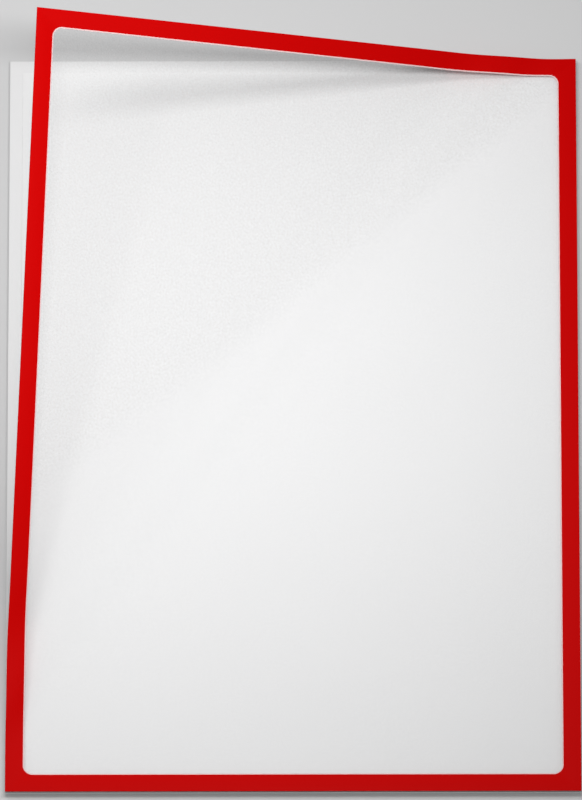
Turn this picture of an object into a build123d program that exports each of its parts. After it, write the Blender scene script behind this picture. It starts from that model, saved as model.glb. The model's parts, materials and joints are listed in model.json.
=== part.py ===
from build123d import *
import os
from math import hypot

# Insert sheet and the border around it
insert_width = 210.0
insert_height = 297.0
insert_thickness = 0.25
insert_margin = 5.0
outer_width = insert_width + 2 * insert_margin
outer_height = insert_height + 2 * insert_margin
border_width = 6.8
window_radius = 3.8

# Thickness of each layer, from the rear to the front
rear_magnet_thickness = 0.7
rear_tape_thickness = 0.1
panel_thickness = 0.5
pocket_gap = 0.5
insert_clearance = 0.1
leaf_magnet_thickness = 0.7
leaf_tape_thickness = 0.1
film_thickness = 0.25
border_thickness = 0.25

# Strips on the rear and under the border
rear_magnet_width = 12.0
rear_magnet_inset = 6.0
rear_magnet_gap = 4.0
rear_tape_inset = 0.5
leaf_magnet_width = 5.8
leaf_magnet_inset = 0.5
leaf_magnet_gap = 0.8
leaf_tape_inset = 0.4
seam_width = 4.4
top_magnet_start = 50.0
left_magnet_start = 70.0

# Fold lines of the lifted corner, parallel to the diagonal
near_fold_distance = 10.0
far_fold_distance = 34.0
near_fold_angle = 14.0
far_fold_angle = 11.0
fold_gap = 0.3

# Height of each layer's lower face with the leaf closed
rear_tape_z = rear_magnet_thickness
panel_z = rear_tape_z + rear_tape_thickness
pocket_z = panel_z + panel_thickness
insert_z = pocket_z + insert_clearance
leaf_magnet_z = pocket_z + pocket_gap
leaf_tape_z = leaf_magnet_z + leaf_magnet_thickness
film_z = leaf_tape_z + leaf_tape_thickness
border_z = film_z + film_thickness
fold_z = border_z

# Edges of the outline, with the origin at the middle of the rear
left_x = -outer_width / 2
right_x = outer_width / 2
bottom_y = -outer_height / 2
top_y = outer_height / 2
diagonal = hypot(outer_width, outer_height)
along_x = outer_width / diagonal
along_y = outer_height / diagonal
across_x = -along_y
across_y = along_x


def slab(x0: float, x1: float, y0: float, y1: float, z: float, thickness: float) -> Part:
    """Upright rectangular slab between two corners."""
    box = Box(x1 - x0, y1 - y0, thickness, align=(Align.MIN, Align.MIN, Align.MIN))
    return Pos(x0, y0, z) * box


def band(start: float, end: float) -> Part:
    """Block that holds all points between two distances from the diagonal."""
    block = Box(2 * diagonal, end - start, diagonal, align=(Align.CENTER, Align.MIN, Align.CENTER))
    plane = Plane(origin=(0, 0, 0), x_dir=(along_x, along_y, 0), z_dir=(0, 0, 1))
    return plane * Pos(0, start, 0) * block


def fold_axis(distance: float) -> Axis:
    """Fold line at a distance from the diagonal; a positive turn lifts the corner."""
    origin = (across_x * distance, across_y * distance, fold_z)
    return Axis(origin, (along_x, along_y, 0))


near_axis = fold_axis(near_fold_distance)
far_axis = fold_axis(far_fold_distance)


def bent(shape: Part) -> Part:
    """Place a piece of the bend strip in its lifted pose."""
    return shape.rotate(near_axis, near_fold_angle)


def lifted(shape: Part) -> Part:
    """Place a piece of the corner in its lifted pose."""
    return bent(shape.rotate(far_axis, far_fold_angle))


nodes = {}

# Back panel
nodes["back_panel"] = slab(left_x, right_x, bottom_y, top_y, panel_z, panel_thickness)

# Magnetic strips on the rear and the tapes under them
rear_left = left_x + rear_magnet_inset
rear_right = right_x - rear_magnet_inset
rear_bottom = bottom_y + rear_magnet_inset
rear_top = top_y - rear_magnet_inset
side_bottom = rear_bottom + rear_magnet_width + rear_magnet_gap
side_top = rear_top - rear_magnet_width - rear_magnet_gap
rear_strips = {
    "top": (rear_left, rear_right, rear_top - rear_magnet_width, rear_top),
    "bottom": (rear_left, rear_right, rear_bottom, rear_bottom + rear_magnet_width),
    "left": (rear_left, rear_left + rear_magnet_width, side_bottom, side_top),
    "right": (rear_right - rear_magnet_width, rear_right, side_bottom, side_top),
}
for side, (x0, x1, y0, y1) in rear_strips.items():
    nodes[f"rear_magnet_{side}"] = slab(x0, x1, y0, y1, 0, rear_magnet_thickness)
    inset = rear_tape_inset
    nodes[f"rear_tape_{side}"] = slab(
        x0 + inset, x1 - inset, y0 + inset, y1 - inset, rear_tape_z, rear_tape_thickness
    )

# Seam strips that join the leaf to the panel
seam_x = right_x - seam_width
seam_y = bottom_y + seam_width
nodes["seam_right"] = slab(seam_x, right_x, bottom_y, top_y, pocket_z, pocket_gap)
nodes["seam_bottom"] = slab(left_x, seam_x, bottom_y, seam_y, pocket_z, pocket_gap)

# Magnetic strips under the border and the tapes above them
leaf_left = left_x + leaf_magnet_inset
leaf_right = right_x - leaf_magnet_inset
leaf_bottom = bottom_y + leaf_magnet_inset
leaf_top = top_y - leaf_magnet_inset
leaf_step = leaf_magnet_width + leaf_magnet_gap
top_end = right_x - top_magnet_start
left_end = bottom_y + left_magnet_start
leaf_strips = {
    "right": (leaf_right - leaf_magnet_width, leaf_right, leaf_bottom, leaf_top),
    "bottom": (leaf_left, leaf_right - leaf_step, leaf_bottom, leaf_bottom + leaf_magnet_width),
    "top": (leaf_left + leaf_step, top_end, leaf_top - leaf_magnet_width, leaf_top),
    "left": (leaf_left, leaf_left + leaf_magnet_width, left_end, leaf_top),
}
for side, (x0, x1, y0, y1) in leaf_strips.items():
    magnet = slab(x0, x1, y0, y1, leaf_magnet_z, leaf_magnet_thickness)
    inset = leaf_tape_inset
    tape = slab(x0 + inset, x1 - inset, y0 + inset, y1 - inset, leaf_tape_z, leaf_tape_thickness)
    on_corner = side in ("top", "left")
    nodes[f"leaf_magnet_{side}"] = lifted(magnet) if on_corner else magnet
    nodes[f"leaf_tape_{side}"] = lifted(tape) if on_corner else tape

# Window film and border, flat, before they are cut along the fold lines
film = slab(left_x, right_x, bottom_y, top_y, film_z, film_thickness)
window_width = outer_width - 2 * border_width
window_height = outer_height - 2 * border_width
window = extrude(RectangleRounded(window_width, window_height, window_radius), border_thickness)
border_sheet = slab(left_x, right_x, bottom_y, top_y, border_z, border_thickness)
border = border_sheet - Pos(0, 0, border_z) * window

# Zones of the leaf, with a small gap at each fold line
base_zone = band(-diagonal, near_fold_distance - fold_gap / 2)
bend_zone = band(near_fold_distance + fold_gap / 2, far_fold_distance - fold_gap / 2)
corner_zone = band(far_fold_distance + fold_gap / 2, diagonal)
nodes["window_film_base"] = film & base_zone
nodes["window_film_bend"] = bent(film & bend_zone)
nodes["window_film_corner"] = lifted(film & corner_zone)
nodes["border_base"] = border & base_zone
nodes["border_corner"] = lifted(border & corner_zone)
border_bend_left, border_bend_top = (border & bend_zone).solids().sort_by(Axis.Y)
nodes["border_bend_left"] = bent(border_bend_left)
nodes["border_bend_top"] = bent(border_bend_top)

# Insert sheet
nodes["insert_sheet"] = slab(
    left_x + insert_margin,
    right_x - insert_margin,
    bottom_y + insert_margin,
    top_y - insert_margin,
    insert_z,
    insert_thickness,
)

os.makedirs("parts", exist_ok=True)
for name, shape in nodes.items():
    export_step(shape, f"parts/{name}.step")
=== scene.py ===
"""Looks of a magnetic photo frame: red border, matte window film, white back, magnetic strips."""

from __future__ import annotations

import json
import logging
import math
from dataclasses import dataclass
from enum import Enum
from typing import Any, Mapping, Sequence, Union

import bmesh
import bpy
from mathutils import Matrix, Vector

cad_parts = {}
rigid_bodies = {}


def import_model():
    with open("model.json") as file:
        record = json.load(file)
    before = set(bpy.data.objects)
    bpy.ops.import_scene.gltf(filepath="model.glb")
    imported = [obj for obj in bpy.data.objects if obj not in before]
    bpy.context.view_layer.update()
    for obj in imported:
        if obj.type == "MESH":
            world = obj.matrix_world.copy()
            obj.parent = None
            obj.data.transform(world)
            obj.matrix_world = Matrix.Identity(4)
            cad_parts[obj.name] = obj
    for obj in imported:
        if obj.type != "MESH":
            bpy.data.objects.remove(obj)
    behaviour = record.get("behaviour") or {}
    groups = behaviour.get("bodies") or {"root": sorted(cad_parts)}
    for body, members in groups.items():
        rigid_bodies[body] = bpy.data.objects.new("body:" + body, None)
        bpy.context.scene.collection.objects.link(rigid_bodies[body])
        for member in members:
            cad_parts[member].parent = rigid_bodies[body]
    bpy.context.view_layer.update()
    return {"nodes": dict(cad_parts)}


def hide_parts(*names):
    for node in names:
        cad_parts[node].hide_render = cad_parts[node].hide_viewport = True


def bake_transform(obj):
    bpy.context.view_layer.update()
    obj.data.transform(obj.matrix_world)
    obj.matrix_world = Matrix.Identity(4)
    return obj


for leftover in list(bpy.data.objects):
    bpy.data.objects.remove(leftover)
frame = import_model()

LOG = logging.getLogger("photo_frame")
MM = 0.001
MIDDLE_GREY = 0.5
WHITE = (1.0, 1.0, 1.0, 1.0)
SIDE = Vector((1.0, 0.0, 0.0))
UP = Vector((0.0, 0.0, 1.0))
CORNER_SIGNS = ((1, 1), (-1, 1), (-1, -1), (1, -1))
Colour = tuple[float, float, float]
Value = Union["Field", float, int]


class Zone(Enum):
    """Half of the leaf on either side of the seam between its two folds."""

    NEAR = "near"
    FAR = "far"

    @property
    def bodies(self) -> tuple[str, str]:
        """Bodies on the two sides of the half's fold, the one that lifts less first."""
        return ("pocket", "bend_strip") if self is Zone.NEAR else ("bend_strip", "lifted_corner")


class StripRun(Enum):
    """Direction in which a magnetic strip was extruded, as the stretch of its surface lines."""

    ALONG_X = (30.0, 1400.0, 1400.0)
    ALONG_Y = (1400.0, 30.0, 1400.0)


class Field:
    """A node socket that takes part in Python arithmetic."""

    def __init__(self, board: Board, socket: bpy.types.NodeSocket) -> None:
        """Keep the socket and the board it belongs to.

        Args:
            board: Board that receives the Math nodes.
            socket: Output socket to wrap.
        """
        self.board = board
        self.socket = socket

    def _math(self, operation: str, first: Value, second: Value) -> Field:
        """Add one Math node.

        Args:
            operation: Name of the Math operation.
            first: Left operand.
            second: Right operand.

        Returns:
            The node's result.
        """
        return self.board.add("ShaderNodeMath", {"operation": operation}, {0: first, 1: second})

    def __add__(self, other: Value) -> Field:
        """Sum."""
        return self._math("ADD", self, other)

    def __radd__(self, other: Value) -> Field:
        """Sum with a number on the left."""
        return self._math("ADD", other, self)

    def __sub__(self, other: Value) -> Field:
        """Difference."""
        return self._math("SUBTRACT", self, other)

    def __rsub__(self, other: Value) -> Field:
        """Difference with a number on the left."""
        return self._math("SUBTRACT", other, self)

    def __mul__(self, other: Value) -> Field:
        """Product."""
        return self._math("MULTIPLY", self, other)

    def __rmul__(self, other: Value) -> Field:
        """Product with a number on the left."""
        return self._math("MULTIPLY", other, self)


class Board:
    """A node tree that is being built."""

    def __init__(self, tree: bpy.types.NodeTree) -> None:
        """Start from an empty tree.

        Args:
            tree: Shader or geometry node tree.
        """
        self.tree = tree
        tree.nodes.clear()

    def node(
        self, kind: str, settings: Mapping[str, Any], inputs: Mapping[Any, Any]
    ) -> bpy.types.Node:
        """Add a node, set it up and link it.

        Args:
            kind: Node type.
            settings: Node properties, set before the sockets.
            inputs: Socket name or index to a number, a colour, a material or a Field.

        Returns:
            The new node.
        """
        made = self.tree.nodes.new(kind)
        for key, setting in settings.items():
            setattr(made, key, setting)
        for key, given in inputs.items():
            if isinstance(given, Field):
                self.tree.links.new(given.socket, made.inputs[key])
            else:
                made.inputs[key].default_value = given
        return made

    def add(
        self,
        kind: str,
        settings: Mapping[str, Any] | None = None,
        inputs: Mapping[Any, Any] | None = None,
        output: int | str = 0,
    ) -> Field:
        """Add a node and take one of its outputs.

        Args:
            kind: Node type.
            settings: Node properties.
            inputs: Values or links of its sockets.
            output: Name or index of the wanted output.

        Returns:
            The output as a Field.
        """
        made = self.node(kind, settings or {}, inputs or {})
        return Field(self, made.outputs[output])

    def dot(self, first: Field, second: Field | Sequence[float]) -> Field:
        """Dot product of two vectors.

        Args:
            first: First vector.
            second: Second vector.

        Returns:
            The product, a number.
        """
        settings = {"operation": "DOT_PRODUCT"}
        return self.add("ShaderNodeVectorMath", settings, {0: first, 1: second}, output="Value")

    def soft_step(self, given: Field, start: Value, end: Value) -> Field:
        """Smooth step from 0 to 1.

        Args:
            given: Number that is tested.
            start: Number at which the step leaves 0.
            end: Number at which it reaches 1.

        Returns:
            The step.
        """
        inputs = {"Value": given, "From Min": start, "From Max": end}
        return self.add("ShaderNodeMapRange", {"interpolation_type": "SMOOTHSTEP"}, inputs)


class Finish:
    """Base of every finish: makes one material once and hands it out. Lengths in metres."""

    made: dict[str, bpy.types.Material] = {}
    noise_roughness = 0.55

    def paint(self, board: Board) -> Field:
        """Build the finish's shader.

        Args:
            board: Board of the material.

        Returns:
            The shader for the surface.
        """
        raise NotImplementedError

    def label(self) -> str:
        """Name of the material."""
        return type(self).__name__

    def material(self) -> bpy.types.Material:
        """Make the material, or return the one made before.

        Returns:
            The material of this finish.
        """
        if self.label() not in Finish.made:
            made = bpy.data.materials.new(self.label())
            made.use_nodes = True
            board = Board(made.node_tree)
            shader = self.paint(board)
            board.node("ShaderNodeOutputMaterial", {}, {"Surface": shader})
            Finish.made[self.label()] = made
        return Finish.made[self.label()]

    @staticmethod
    def surface(board: Board, sockets: Mapping[str, Any]) -> Field:
        """Principled shader with some of its sockets set or linked."""
        return board.add("ShaderNodeBsdfPrincipled", {}, sockets)

    @staticmethod
    def place(board: Board, scale: Sequence[float] = (1.0, 1.0, 1.0)) -> Field:
        """Object coordinates, stretched.

        Args:
            board: Board of the material.
            scale: Stretch along X, Y and Z.

        Returns:
            The coordinates.
        """
        here = board.add("ShaderNodeTexCoord", output="Object")
        return board.add("ShaderNodeMapping", {}, {"Vector": here, "Scale": tuple(scale)})

    def noise(self, board: Board, where: Field, scale: float, detail: float = 2.0) -> Field:
        """Grey noise between 0 and 1.

        Args:
            board: Board of the material.
            where: Coordinates.
            scale: Cells per metre.
            detail: Octaves.

        Returns:
            The noise.
        """
        sockets = {
            "Vector": where,
            "Scale": scale,
            "Detail": detail,
            "Roughness": self.noise_roughness,
        }
        return board.add("ShaderNodeTexNoise", {"noise_dimensions": "3D"}, sockets)

    @staticmethod
    def tint(board: Board, factor: Field, low: Colour, high: Colour) -> Field:
        """Mix of two colours.

        Args:
            board: Board of the material.
            factor: Share of the second colour.
            low: First colour.
            high: Second colour.

        Returns:
            The mixed colour.
        """
        # Sockets 0, 6 and 7 are the factor and the two colours, and output 2 is their mix.
        sockets = {0: factor, 6: (*low, 1.0), 7: (*high, 1.0)}
        return board.add("ShaderNodeMix", {"data_type": "RGBA"}, sockets, output=2)

    @staticmethod
    def bump(board: Board, height: Field, strength: float, distance: float) -> Field:
        """Bumped normal.

        Args:
            board: Board of the material.
            height: Height between 0 and 1.
            strength: Share of the bump.
            distance: Height in metres.

        Returns:
            The normal.
        """
        sockets = {"Height": height, "Strength": strength, "Distance": distance}
        return board.add("ShaderNodeBump", {}, sockets, output="Normal")


@dataclass(frozen=True)
class RedBorderFilm(Finish):
    """Satin red film of the border."""

    red: Colour = (0.600, 0.0, 0.0)
    deep: Colour = (0.575, 0.0, 0.0)
    cloud_scale: float = 18.0
    grain_scale: float = 2600.0
    grain_detail: float = 1.0
    roughness: float = 0.50
    grain_roughness: float = 0.10
    specular: float = 0.03
    grain_strength: float = 0.12
    grain_height: float = 0.00004

    def paint(self, board: Board) -> Field:
        """Build the shader: even red with a faint cloud and a fine matte grain.

        Args:
            board: Board of the material.

        Returns:
            The shader for the surface.
        """
        where = self.place(board)
        cloud = self.noise(board, where, self.cloud_scale)
        grain = self.noise(board, where, self.grain_scale, self.grain_detail)
        return self.surface(
            board,
            {
                "Base Color": self.tint(board, cloud, self.deep, self.red),
                "Roughness": self.roughness + self.grain_roughness * grain,
                "Specular IOR Level": self.specular,
                "Normal": self.bump(board, grain, self.grain_strength, self.grain_height),
            },
        )


@dataclass(frozen=True)
class PaleCutEdge(Finish):
    """Pale cut edge of the border around the window."""

    pale: Colour = (0.88, 0.66, 0.66)
    dull: Colour = (0.78, 0.52, 0.52)
    spot_scale: float = 700.0
    roughness: float = 0.55
    spot_roughness: float = 0.15

    def paint(self, board: Board) -> Field:
        """Build the shader: pinkish white with small uneven spots.

        Args:
            board: Board of the material.

        Returns:
            The shader for the surface.
        """
        spots = self.noise(board, self.place(board), self.spot_scale)
        return self.surface(
            board,
            {
                "Base Color": self.tint(board, spots, self.dull, self.pale),
                "Roughness": self.roughness + self.spot_roughness * spots,
            },
        )


@dataclass(frozen=True)
class MatteWindowFilm(Finish):
    """Clear film with a fine matte grain, which shows more where the film is off the sheet. Its
    opacity rises at grazing angles: this shows its real gloss more, and shows its pale base
    colour as a painted sheen.
    """

    edge_low: tuple[float, float] = (-0.0741, -0.0138)
    edge_high: tuple[float, float] = (0.0843, 0.1255)
    edge_reach: float = 0.006
    haze: float = 0.015
    lifted_haze: float = 0.030
    slant_gloss_and_painted_sheen: float = 0.5
    slant_blend: float = 0.10
    grain_scale: float = 1100.0
    flat_grain: float = 0.04
    lifted_grain: float = 0.15
    cloud_scale: float = 22.0
    pale: Colour = (0.54, 0.54, 0.545)
    milky: Colour = (0.64, 0.64, 0.645)
    roughness: float = 0.38
    grain_roughness: float = 0.14
    specular: float = 0.30
    grain_strength: float = 0.10
    grain_height: float = 0.00004

    def _lifted(self, board: Board, where: Field) -> Field:
        """Mask of the film that is off the sheet, beyond the line between the two edge points.

        Args:
            board: Board of the material.
            where: Object coordinates.

        Returns:
            One where the film is lifted, nought where it lies on the sheet.
        """
        low, high = Vector(self.edge_low), Vector(self.edge_high)
        across = (high - low).orthogonal().normalized()
        middle = across.dot(low)
        away = board.dot(where, (*across, 0.0))
        return board.soft_step(away, middle - self.edge_reach, middle + self.edge_reach)

    def paint(self, board: Board) -> Field:
        """Build the shader: mostly clear, with haze that follows the grain and more opacity at
        grazing angles, which gives real gloss and a painted pale sheen.

        Args:
            board: Board of the material.

        Returns:
            The shader for the surface.
        """
        where = self.place(board)
        grain = self.noise(board, where, self.grain_scale)
        cloud = self.noise(board, where, self.cloud_scale)
        lifted = self._lifted(board, where)
        depth = self.flat_grain + (self.lifted_grain - self.flat_grain) * lifted
        # Opacity rises at grazing angles. Real gloss shows more there, and the pale base colour
        # shows as a painted sheen.
        slant = board.add(
            "ShaderNodeLayerWeight", {}, {"Blend": self.slant_blend}, output="Facing"
        )
        haze = self.haze + (self.lifted_haze - self.haze) * lifted + self.slant_gloss_and_painted_sheen * slant
        return self.surface(
            board,
            {
                "Base Color": self.tint(board, cloud, self.pale, self.milky),
                "Roughness": self.roughness + self.grain_roughness * grain,
                "Specular IOR Level": self.specular,
                "Alpha": haze + depth * (grain - MIDDLE_GREY),
                "Normal": self.bump(board, grain, self.grain_strength, self.grain_height),
            },
        )


@dataclass(frozen=True)
class WhiteBackSheet(Finish):
    """White plastic of the back panel."""

    white: Colour = (0.87, 0.87, 0.87)
    shade: Colour = (0.84, 0.84, 0.845)
    cloud_scale: float = 30.0
    peel_scale: float = 900.0
    roughness: float = 0.45
    peel_roughness: float = 0.12
    specular: float = 0.25
    peel_strength: float = 0.10
    peel_height: float = 0.00005

    def paint(self, board: Board) -> Field:
        """Build the shader: white with a soft cloud and an orange-peel surface.

        Args:
            board: Board of the material.

        Returns:
            The shader for the surface.
        """
        where = self.place(board)
        cloud = self.noise(board, where, self.cloud_scale)
        peel = self.noise(board, where, self.peel_scale)
        return self.surface(
            board,
            {
                "Base Color": self.tint(board, cloud, self.shade, self.white),
                "Roughness": self.roughness + self.peel_roughness * peel,
                "Specular IOR Level": self.specular,
                "Normal": self.bump(board, peel, self.peel_strength, self.peel_height),
            },
        )


@dataclass(frozen=True)
class BlankPaper(Finish):
    """Blank white insert sheet."""

    bright: Colour = (0.92, 0.92, 0.92)
    fibre: Colour = (0.88, 0.88, 0.885)
    stretch_across: tuple[float, float, float] = (1.0, 3.0, 1.0)
    stretch_along: tuple[float, float, float] = (3.0, 1.0, 1.0)
    fibre_scale: float = 420.0
    fibre_detail: float = 3.0
    fibre_share: float = 0.5
    roughness: float = 0.82
    fibre_roughness: float = 0.1
    specular: float = 0.15
    fibre_strength: float = 0.15
    fibre_height: float = 0.00005

    def paint(self, board: Board) -> Field:
        """Build the shader: white paper with short fibres in two directions.

        Args:
            board: Board of the material.

        Returns:
            The shader for the surface.
        """
        across, along = (
            self.noise(board, self.place(board, stretch), self.fibre_scale, self.fibre_detail)
            for stretch in (self.stretch_across, self.stretch_along)
        )
        fibres = self.fibre_share * across + self.fibre_share * along
        return self.surface(
            board,
            {
                "Base Color": self.tint(board, fibres, self.fibre, self.bright),
                "Roughness": self.roughness + self.fibre_roughness * fibres,
                "Specular IOR Level": self.specular,
                "Normal": self.bump(board, fibres, self.fibre_strength, self.fibre_height),
            },
        )


@dataclass(frozen=True)
class MagnetRubber(Finish):
    """Dark flexible magnetic rubber with extrusion lines."""

    run: StripRun
    dark: Colour = (0.022, 0.020, 0.019)
    dusty: Colour = (0.062, 0.057, 0.052)
    line_scale: float = 1.0
    line_share: float = 0.7
    speckle_share: float = 0.3
    speckle_scale: float = 1900.0
    speckle_detail: float = 1.0
    roughness: float = 0.55
    speckle_roughness: float = 0.25
    specular: float = 0.3
    line_strength: float = 0.35
    line_height: float = 0.00008

    def label(self) -> str:
        """Name of the material, one for each run."""
        return f"MagnetRubber_{self.run.name}"

    def paint(self, board: Board) -> Field:
        """Build the shader: fine lines along the strip and a dusty speckle.

        Args:
            board: Board of the material.

        Returns:
            The shader for the surface.
        """
        lines = self.noise(board, self.place(board, self.run.value), self.line_scale)
        speckle = self.noise(board, self.place(board), self.speckle_scale, self.speckle_detail)
        dust = self.line_share * lines + self.speckle_share * speckle
        return self.surface(
            board,
            {
                "Base Color": self.tint(board, dust, self.dark, self.dusty),
                "Roughness": self.roughness + self.speckle_roughness * speckle,
                "Specular IOR Level": self.specular,
                "Normal": self.bump(board, lines, self.line_strength, self.line_height),
            },
        )


@dataclass(frozen=True)
class AdhesiveTape(Finish):
    """Pale double-sided tape."""

    cream: Colour = (0.74, 0.70, 0.60)
    pale: Colour = (0.82, 0.79, 0.72)
    glue_scale: float = 160.0
    glue_detail: float = 3.0
    roughness: float = 0.35
    glue_roughness: float = 0.3

    def paint(self, board: Board) -> Field:
        """Build the shader: cream tape with faint uneven glue.

        Args:
            board: Board of the material.

        Returns:
            The shader for the surface.
        """
        glue = self.noise(board, self.place(board), self.glue_scale, self.glue_detail)
        return self.surface(
            board,
            {
                "Base Color": self.tint(board, glue, self.cream, self.pale),
                "Roughness": self.roughness + self.glue_roughness * glue,
            },
        )


@dataclass(frozen=True)
class WhiteSeam(Finish):
    """White joining strip at the closed edges."""

    white: Colour = (0.84, 0.84, 0.84)
    shade: Colour = (0.76, 0.76, 0.77)
    pore_scale: float = 1200.0
    roughness: float = 0.7
    pore_roughness: float = 0.2
    pore_strength: float = 0.2
    pore_height: float = 0.00006

    def paint(self, board: Board) -> Field:
        """Build the shader: white foam with fine pores.

        Args:
            board: Board of the material.

        Returns:
            The shader for the surface.
        """
        pores = self.noise(board, self.place(board), self.pore_scale)
        return self.surface(
            board,
            {
                "Base Color": self.tint(board, pores, self.shade, self.white),
                "Roughness": self.roughness + self.pore_roughness * pores,
                "Normal": self.bump(board, pores, self.pore_strength, self.pore_height),
            },
        )


@dataclass(frozen=True)
class PaleFloor(Finish):
    """Plain pale floor that keeps the shadow and looks a little paler than it is lit."""

    pale: Colour = (0.64, 0.64, 0.64)
    soft: Colour = (0.62, 0.62, 0.625)
    cloud_scale: float = 3.0
    roughness: float = 0.9
    specular: float = 0.1
    lift: float = 0.12

    @staticmethod
    def seen(board: Board) -> Field:
        """One where a ray comes from the camera, also through glass or over a reflection.

        Args:
            board: Board of the material or world.

        Returns:
            One for such rays, nought for the light that falls on the object.
        """
        path = board.node("ShaderNodeLightPath", {}, {})
        names = ("Is Camera Ray", "Is Glossy Ray", "Is Transmission Ray")
        camera, glossy, through = (Field(board, path.outputs[name]) for name in names)
        settings = {"operation": "ADD", "use_clamp": True}
        return board.add("ShaderNodeMath", settings, {0: camera + glossy, 1: through})

    def paint(self, board: Board) -> Field:
        """Build the shader: even pale grey that keeps its shadows.

        Args:
            board: Board of the material.

        Returns:
            The shader for the surface.
        """
        cloud = self.noise(board, self.place(board), self.cloud_scale)
        lit = self.surface(
            board,
            {
                "Base Color": self.tint(board, cloud, self.soft, self.pale),
                "Roughness": self.roughness,
                "Specular IOR Level": self.specular,
            },
        )
        white = board.add("ShaderNodeEmission", {}, {"Color": WHITE, "Strength": 1.0})
        share = self.lift * self.seen(board)
        return board.add("ShaderNodeMixShader", {}, {0: share, 1: lit, 2: white})


@dataclass
class LeafBend:
    """Rule by which the flat leaf bends: two soft folds parallel to the diagonal.

    Lengths are in millimetres and angles in degrees.
    """

    width: float = 220.0
    height: float = 307.0
    near_line: float = 10.0
    far_line: float = 34.0
    near_reach: float = 10.0
    far_reach: float = 12.0
    near_angle: float = 14.0
    far_angle: float = 11.0
    fold_height: float = 2.85
    seam: float = 21.0
    rulings: int = 16

    @property
    def along(self) -> Vector:
        """Direction of the fold lines."""
        return Vector((self.width, self.height, 0.0)).normalized()

    @property
    def across(self) -> Vector:
        """Direction from the diagonal towards the lifted corner."""
        return Vector((-self.along.y, self.along.x, 0.0))

    def fold(self, zone: Zone) -> tuple[float, float]:
        """Where the fold of one half lies.

        Args:
            zone: Half of the leaf.

        Returns:
            Distance from the diagonal and reach to either side, in millimetres.
        """
        if zone is Zone.NEAR:
            return self.near_line, self.near_reach
        return self.far_line, self.far_reach

    def lines(self, zone: Zone) -> list[float]:
        """Distances from the diagonal at which the sheet is ruled so that it can bend.

        Args:
            zone: Half of the leaf.

        Returns:
            Distances in millimetres.
        """
        middle, reach = self.fold(zone)
        return [middle - reach + 2 * reach * i / self.rulings for i in range(self.rulings + 1)]

    def lifted(self, distance: float) -> Vector:
        """Place of a point at the fold height, at rest, on a leaf that is creased on its lines.

        Args:
            distance: Distance from the diagonal on the flat leaf, in millimetres.

        Returns:
            The point in metres.
        """
        rise = UP * self.fold_height
        point = self.across * distance + rise
        folds = ((self.far_line, self.far_angle), (self.near_line, self.near_angle))
        for line, angle in folds:
            if distance > line:
                centre = self.across * line + rise
                turn = Matrix.Rotation(math.radians(angle), 3, self.along)
                point = centre + turn @ (point - centre)
        return point * MM

    @staticmethod
    def _bent(board: Board, size: Mapping[str, Field]) -> Field:
        """Turn every point about the far fold, then about the near one.

        Args:
            board: Board of the tree.
            size: The tree's inputs.

        Returns:
            The points' new places.
        """
        here = board.add("GeometryNodeInputPosition")
        distance = board.dot(here, size["Across"])
        bent = here
        for fold in ("Far", "Near"):
            line, reach = size[f"{fold} Line"], size[f"{fold} Reach"]
            share = board.soft_step(distance, line - reach, line + reach)
            bent = board.add(
                "ShaderNodeVectorRotate",
                {"rotation_type": "AXIS_ANGLE"},
                {
                    "Vector": bent,
                    "Center": size[f"{fold} Centre"],
                    "Axis": size["Along"],
                    "Angle": share * size[f"{fold} Angle"],
                },
            )
        return bent

    def tree(self) -> bpy.types.NodeTree:
        """Geometry nodes that bend a flat sheet and finish its faces.

        Returns:
            The node tree, with named inputs for its sizes.
        """
        made = bpy.data.node_groups.new("bent_sheet", "GeometryNodeTree")
        board = Board(made)
        sockets = {
            "Sheet": "NodeSocketGeometry",
            "Along": "NodeSocketVector",
            "Across": "NodeSocketVector",
            "Near Centre": "NodeSocketVector",
            "Far Centre": "NodeSocketVector",
            "Near Line": "NodeSocketFloat",
            "Far Line": "NodeSocketFloat",
            "Near Reach": "NodeSocketFloat",
            "Far Reach": "NodeSocketFloat",
            "Near Angle": "NodeSocketFloat",
            "Far Angle": "NodeSocketFloat",
            "Face Finish": "NodeSocketMaterial",
            "Edge Finish": "NodeSocketMaterial",
        }
        for name, kind in sockets.items():
            made.interface.new_socket(name=name, in_out="INPUT", socket_type=kind)
        made.interface.new_socket(
            name="Sheet", in_out="OUTPUT", socket_type="NodeSocketGeometry"
        )
        given = board.node("NodeGroupInput", {}, {})
        size = {name: Field(board, given.outputs[name]) for name in sockets}
        sheet = board.add(
            "GeometryNodeSetPosition",
            {},
            {"Geometry": size["Sheet"], "Position": self._bent(board, size)},
        )
        sheet = board.add("GeometryNodeRealizeInstances", {}, {"Geometry": sheet})
        sheet = board.add(
            "GeometryNodeSetMaterial", {}, {"Geometry": sheet, "Material": size["Face Finish"]}
        )
        edge = board.add(
            "GeometryNodeInputNamedAttribute", {"data_type": "BOOLEAN"}, {"Name": "cut_edge"}
        )
        sheet = board.add(
            "GeometryNodeSetMaterial",
            {},
            {"Geometry": sheet, "Selection": edge, "Material": size["Edge Finish"]},
        )
        board.node("NodeGroupOutput", {}, {"Sheet": sheet})
        return made

    def settings(self, face: Finish, edge: Finish) -> dict[str, Any]:
        """Values of the tree's named inputs.

        Args:
            face: Finish of the sheet.
            edge: Finish of its cut edge.

        Returns:
            Input name to value, in metres and radians.
        """
        rise = UP * self.fold_height
        return {
            "Along": self.along,
            "Across": self.across,
            "Near Centre": (self.across * self.near_line + rise) * MM,
            "Far Centre": (self.across * self.far_line + rise) * MM,
            "Near Line": self.near_line * MM,
            "Far Line": self.far_line * MM,
            "Near Reach": self.near_reach * MM,
            "Far Reach": self.far_reach * MM,
            "Near Angle": math.radians(self.near_angle),
            "Far Angle": math.radians(self.far_angle),
            "Face Finish": face.material(),
            "Edge Finish": edge.material(),
        }


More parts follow.
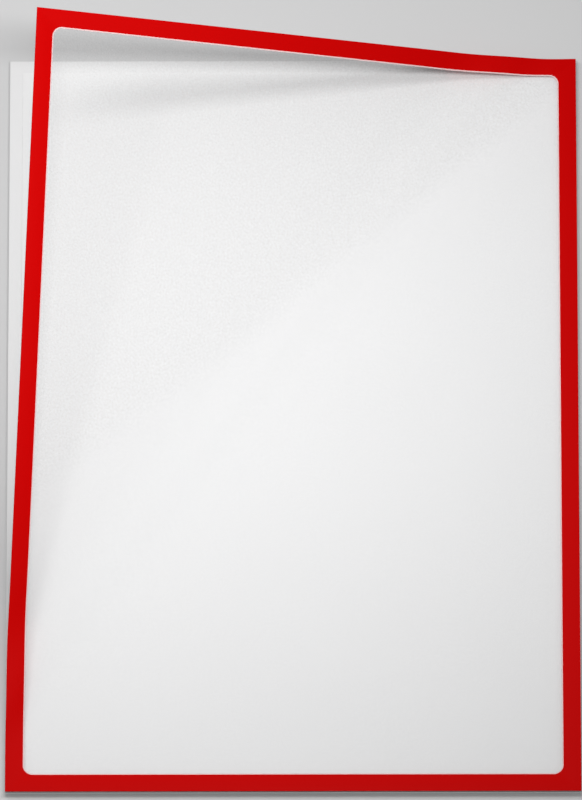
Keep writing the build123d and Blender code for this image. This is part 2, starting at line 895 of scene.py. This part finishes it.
@dataclass
class BendingPieces:
    """Flat pieces that are cut, ruled and bent by the leaf's rule."""

    bend: LeafBend
    sharp_angle: float = 20.0

    @staticmethod
    def _slab(low: Sequence[float], high: Sequence[float]) -> bmesh.types.BMesh:
        """Flat block between two corners.

        Args:
            low: Lowest corner in millimetres.
            high: Highest corner in millimetres.

        Returns:
            A closed mesh, in metres.
        """
        made = bmesh.new()
        bmesh.ops.create_cube(made, size=1.0)
        first, last = Vector(low) * MM, Vector(high) * MM
        bmesh.ops.scale(made, vec=last - first, verts=made.verts)
        bmesh.ops.translate(made, vec=(first + last) / 2, verts=made.verts)
        return made

    def _rule(self, cut: bmesh.types.BMesh, zone: Zone) -> None:
        """Keep one half of a flat sheet and rule it along its fold.

        Args:
            cut: Flat closed sheet.
            zone: Half to keep.
        """
        across = self.bend.across
        bmesh.ops.bisect_plane(
            cut,
            geom=[*cut.verts, *cut.edges, *cut.faces],
            plane_co=across * self.bend.seam * MM,
            plane_no=across,
            clear_outer=zone is Zone.NEAR,
            clear_inner=zone is Zone.FAR,
        )
        open_edges = [edge for edge in cut.edges if edge.is_boundary]
        bmesh.ops.holes_fill(cut, edges=open_edges, sides=0)
        for distance in self.bend.lines(zone):
            bmesh.ops.bisect_plane(
                cut,
                geom=[*cut.verts, *cut.edges, *cut.faces],
                plane_co=across * distance * MM,
                plane_no=across,
            )
        bmesh.ops.recalc_face_normals(cut, faces=cut.faces)

    def _bent(
        self, name: str, cut: bmesh.types.BMesh, tree: bpy.types.NodeTree, face: Finish
    ) -> bpy.types.Object:
        """Bend a ruled sheet into a plain mesh.

        Args:
            name: Name of the piece.
            cut: Ruled sheet, which is used up.
            tree: Geometry nodes that bend it.
            face: Finish of the sheet.

        Returns:
            The bent piece.
        """
        mesh = bpy.data.meshes.new(name)
        cut.to_mesh(mesh)
        cut.free()
        piece = bpy.data.objects.new(name, mesh)
        bpy.context.scene.collection.objects.link(piece)
        modifier = piece.modifiers.new("bend", "NODES")
        modifier.node_group = tree
        wanted = self.bend.settings(face, PaleCutEdge())
        for item in tree.interface.items_tree:
            if item.in_out == "INPUT" and item.name in wanted:
                modifier[item.identifier] = wanted[item.name]
        ready = piece.evaluated_get(bpy.context.evaluated_depsgraph_get())
        bent = bpy.data.meshes.new_from_object(ready)
        piece.modifiers.remove(modifier)
        piece.data = bent
        for polygon in bent.polygons:
            polygon.use_smooth = True
        bent.set_sharp_from_angle(angle=math.radians(self.sharp_angle))
        return piece

    def _sheet(
        self,
        name: str,
        cut: bmesh.types.BMesh,
        zone: Zone,
        tree: bpy.types.NodeTree,
        face: Finish,
    ) -> bpy.types.Object:
        """Bend one half of a flat sheet.

        Args:
            name: Name of the piece.
            cut: Flat closed sheet, which is used up.
            zone: Half to make.
            tree: Geometry nodes that bend it.
            face: Finish of the sheet.

        Returns:
            The finished piece.
        """
        self._rule(cut, zone)
        piece = self._bent(name, cut, tree, face)
        middle, reach = self.bend.fold(zone)
        self.bend.lifted(middle - reach)
        self.bend.lifted(middle + reach)
        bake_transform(piece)
        return piece


@dataclass
class FrontLeaf(BendingPieces):
    """Flexible front: red border over a matte window film. Sizes in millimetres."""

    border_width: float = 6.8
    window_radius: float = 3.8
    cut_edge: float = 0.45
    edge_drop: float = 0.14
    film_low: float = 2.60
    film_high: float = 2.85
    border_low: float = 2.86
    border_high: float = 3.10
    arc_steps: int = 10

    def build(self, tree: bpy.types.NodeTree) -> list[bpy.types.Object]:
        """Make the border and the film and bend them.

        Args:
            tree: Geometry nodes that bend a sheet.

        Returns:
            The finished pieces.
        """
        made = []
        half = (self.bend.width / 2, self.bend.height / 2)
        for zone in Zone:
            flat = self._border_cut()
            border = self._sheet(f"border_{zone.value}", flat, zone, tree, RedBorderFilm())
            flat = self._slab((-half[0], -half[1], self.film_low), (*half, self.film_high))
            film = self._sheet(f"window_film_{zone.value}", flat, zone, tree, MatteWindowFilm())
            made += [border, film]
        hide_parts("border_base", "border_bend_left", "border_bend_top")
        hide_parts("window_film_base", "window_film_bend")
        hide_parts("border_corner")
        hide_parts("window_film_corner")
        return made

    def _loop(self, inset: float, radius: float) -> list[Vector]:
        """Rounded rectangle inside the outline, counterclockwise.

        Args:
            inset: Distance from the outline.
            radius: Corner radius.

        Returns:
            Points with z at 0.
        """
        reach_x = self.bend.width / 2 - inset - radius
        reach_y = self.bend.height / 2 - inset - radius
        points = []
        for quarter, (sx, sy) in enumerate(CORNER_SIGNS):
            for step in range(self.arc_steps + 1):
                angle = math.pi / 2 * (quarter + step / self.arc_steps)
                x = sx * reach_x + radius * math.cos(angle)
                y = sy * reach_y + radius * math.sin(angle)
                points.append(Vector((x, y, 0.0)))
        return points

    def _border_cut(self) -> bmesh.types.BMesh:
        """Flat border with its rounded window and a bevelled cut edge.

        Returns:
            A closed mesh, in metres.
        """
        made = bmesh.new()
        mark = made.faces.layers.bool.new("cut_edge")
        half_x, half_y = self.bend.width / 2, self.bend.height / 2
        outline = [Vector((sx * half_x, sy * half_y, 0.0)) for sx, sy in CORNER_SIGNS]
        rim = self._loop(self.border_width, self.window_radius)
        inner = self._loop(
            self.border_width + self.cut_edge, self.window_radius - self.cut_edge
        )
        top_heights = (self.border_high, self.border_high, self.border_high - self.edge_drop)
        under_heights = (self.border_low,) * len(top_heights)
        sides = []
        for heights, is_top in ((top_heights, True), (under_heights, False)):
            rings = [
                [made.verts.new((point + UP * height) * MM) for point in loop]
                for loop, height in zip((outline, rim, inner), heights)
            ]
            self._face_side(made, rings, mark, is_top)
            sides.append(rings)
        (top_outline, _, top_inner), (under_outline, _, under_inner) = sides
        for upper, lower, is_cut in (
            (top_outline, under_outline, False),
            (top_inner, under_inner, True),
        ):
            for index in range(len(upper)):
                after = (index + 1) % len(upper)
                wall = made.faces.new((upper[index], lower[index], lower[after], upper[after]))
                wall[mark] = is_cut
        bmesh.ops.recalc_face_normals(made, faces=made.faces)
        return made

    def _face_side(
        self,
        made: bmesh.types.BMesh,
        rings: Sequence[Sequence[bmesh.types.BMVert]],
        mark: bmesh.types.BMLayerItem,
        is_top: bool,
    ) -> None:
        """Fill one side of the border between its outline, the window's rim and the bevel.

        Args:
            made: Mesh that gets the faces.
            rings: Points of the outline, of the rim and of the bevel's inner end.
            mark: Layer that marks the cut edge.
            is_top: True for the upper side, whose bevel belongs to the cut edge.
        """
        outline, rim, inner = rings
        per_corner = self.arc_steps + 1
        for index in range(len(rim)):
            after = (index + 1) % len(rim)
            corner = index // per_corner
            face = [outline[corner], rim[after], rim[index]]
            if index % per_corner == self.arc_steps:
                face.insert(1, outline[(corner + 1) % len(outline)])
            made.faces.new(face)
            bevel = made.faces.new((rim[index], rim[after], inner[after], inner[index]))
            bevel[mark] = is_top


@dataclass
class ClosingStrips(BendingPieces):
    """Flexible magnetic strips and tapes under the two lifted rails. Sizes in millimetres."""

    width: float = 5.8
    inset: float = 0.5
    gap: float = 0.8
    low: float = 1.8
    high: float = 2.5
    tape_inset: float = 0.4
    tape_high: float = 2.6
    top_stop: float = 50.0
    left_stop: float = 70.0

    def layout(self) -> dict[str, tuple[float, float, float, float]]:
        """Flat outlines of the two strips.

        Returns:
            Side to lowest and highest x and y.
        """
        right, top = self.bend.width / 2, self.bend.height / 2
        left_edge, top_edge = self.inset - right, top - self.inset
        step = self.width + self.gap
        return {
            "top": (left_edge + step, right - self.top_stop, top_edge - self.width, top_edge),
            "left": (left_edge, left_edge + self.width, self.left_stop - top, top_edge),
        }

    def build(self, tree: bpy.types.NodeTree) -> list[bpy.types.Object]:
        """Make the strips and their tapes and bend them.

        Args:
            tree: Geometry nodes that bend a sheet.

        Returns:
            The finished pieces.
        """
        made = []
        runs = {"top": StripRun.ALONG_X, "left": StripRun.ALONG_Y}
        edge = self.tape_inset
        for side, (x0, x1, y0, y1) in self.layout().items():
            rubber = MagnetRubber(runs[side])
            flat = self._slab((x0, y0, self.low), (x1, y1, self.high))
            strip = self._sheet(f"closing_strip_{side}", flat, Zone.FAR, tree, rubber)
            flat = self._slab(
                (x0 + edge, y0 + edge, self.high), (x1 - edge, y1 - edge, self.tape_high)
            )
            tape = self._sheet(f"closing_tape_{side}", flat, Zone.FAR, tree, AdhesiveTape())
            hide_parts(f"leaf_magnet_{side}")
            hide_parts(f"leaf_tape_{side}")
            made += [strip, tape]
        return made


@dataclass
class BackPocket:
    """Rigid pieces behind the leaf: panel, seams, strips, tapes and the insert sheet."""

    nodes: Mapping[str, bpy.types.Object]

    @staticmethod
    def finish_of(name: str) -> Finish | None:
        """Finish that a node gets.

        Args:
            name: Name of the node.

        Returns:
            Its finish, or None for the border and the film, which the leaf makes anew.
        """
        if "magnet" in name:
            upright = name.endswith(("left", "right"))
            return MagnetRubber(StripRun.ALONG_Y if upright else StripRun.ALONG_X)
        if "tape" in name:
            return AdhesiveTape()
        if name.startswith("seam"):
            return WhiteSeam()
        return {"back_panel": WhiteBackSheet(), "insert_sheet": BlankPaper()}.get(name)

    def dress(self) -> list[str]:
        """Give every node but the border's and the film's its finish.

        Returns:
            Names of the nodes that were dressed.
        """
        dressed = []
        for name, node in self.nodes.items():
            finish = self.finish_of(name)
            if finish is not None:
                node.data.materials.clear()
                node.data.materials.append(finish.material())
                dressed.append(name)
        return dressed


def standing(place: Sequence[float], side: Vector, up: Vector, back: Vector) -> Matrix:
    """Matrix of a lamp or camera that stands at a place and has these axes."""
    return Matrix.Translation(place) @ Matrix((side, up, back)).transposed().to_4x4()


@dataclass
class Lamp:
    """Soft lamp whose long side runs along X as far as its aim lets it."""

    name: str
    place: tuple[float, float, float]
    aim: tuple[float, float, float]
    width: float
    depth: float
    power: float

    def hang(self) -> bpy.types.Object:
        """Make the lamp and turn it to its aim.

        Returns:
            The lamp's object.
        """
        light = bpy.data.lights.new(self.name, "AREA")
        light.shape = "RECTANGLE"
        light.size = self.width
        light.size_y = self.depth
        light.energy = self.power
        lamp = bpy.data.objects.new(self.name, light)
        back = (Vector(self.place) - Vector(self.aim)).normalized()
        side = (SIDE - back * back.x).normalized()
        lamp.matrix_world = standing(self.place, side, back.cross(side), back)
        bpy.context.scene.collection.objects.link(lamp)
        return lamp


@dataclass
class Studio:
    """Pale floor, soft lamps and an even sky. Lengths in metres."""

    floor_size: float = 8.0
    floor_level: float = -0.0003
    sky: float = 0.22
    backdrop: float = 0.92
    lamps: tuple[Lamp, ...] = (
        Lamp("back_lamp", (-0.20, 0.170, 0.50), (0.096, -0.051, 0.0), 0.36, 0.10, 0.89),
        Lamp("front_lamp", (0.00, 0.010, 0.50), (-0.390, 0.084, 0.0), 0.36, 0.09, 1.70),
    )

    def build(self) -> None:
        """Make the floor, the lamps and the world."""
        self._lay_floor()
        for lamp in self.lamps:
            lamp.hang()
        self._raise_sky()
        bpy.context.scene.view_settings.view_transform = "Standard"

    def _lay_floor(self) -> None:
        """Make the floor, a hair below the frame so that their faces don't meet."""
        mesh = bpy.data.meshes.new("floor")
        half = self.floor_size / 2
        corners = [(sx * half, sy * half, self.floor_level) for sx, sy in CORNER_SIGNS]
        mesh.from_pydata(corners, [], [(0, 1, 2, 3)])
        mesh.materials.append(PaleFloor().material())
        floor = bpy.data.objects.new("floor", mesh)
        bpy.context.scene.collection.objects.link(floor)

    def _raise_sky(self) -> None:
        """Make the world: even light, and a paler backdrop where it is seen."""
        world = bpy.data.worlds.new("studio")
        world.use_nodes = True
        board = Board(world.node_tree)
        strength = self.sky + (self.backdrop - self.sky) * PaleFloor.seen(board)
        sky = board.add("ShaderNodeBackground", {}, {"Color": WHITE, "Strength": strength})
        board.node("ShaderNodeOutputWorld", {}, {"Surface": sky})
        bpy.context.scene.world = world


@dataclass
class PhotoCamera:
    """Long lens that looks down on the frame from the front.

    Angles are in radians, lengths in metres, and the sensor's side in millimetres.
    """

    azimuth: float = 0.0073
    elevation: float = 1.1620
    roll: float = -0.0082
    distance: float = 6.1684
    aim: tuple[float, float, float] = (-0.00080, 0.00913, 0.00285)
    focal_pixels: float = 16000.0
    image_height: float = 800.0
    sensor: float = 36.0
    clip_end: float = 100.0

    def stand(self) -> bpy.types.Object:
        """Make the camera and use it for the scene.

        Returns:
            The camera's object.
        """
        data = bpy.data.cameras.new("photo_camera")
        data.sensor_width = self.sensor
        data.lens = self.focal_pixels * self.sensor / self.image_height
        data.clip_end = self.clip_end
        flat = math.cos(self.elevation)
        back_x, back_y = math.sin(self.azimuth) * flat, -math.cos(self.azimuth) * flat
        back = Vector((back_x, back_y, math.sin(self.elevation)))
        right = UP.cross(back).normalized()
        up = back.cross(right)
        turn = Matrix.Rotation(self.roll, 3, back)
        place = Vector(self.aim) + back * self.distance
        camera = bpy.data.objects.new("photo_camera", data)
        bpy.context.scene.collection.objects.link(camera)
        camera.matrix_world = standing(place, turn @ right, turn @ up, back)
        bpy.context.scene.camera = camera
        return camera


def main() -> None:
    """Build every sub-assembly in order and report each piece."""
    logging.basicConfig(level=logging.INFO, format="%(name)s: %(message)s")
    PhotoCamera().stand()
    Studio().build()
    bend = LeafBend()
    tree = bend.tree()
    for piece in FrontLeaf(bend).build(tree) + ClosingStrips(bend).build(tree):
        LOG.info("bent piece %s: %d faces", piece.name, len(piece.data.polygons))
    for name in BackPocket(frame["nodes"]).dress():
        LOG.info("dressed %s", name)


if __name__ == "__main__":
    main()
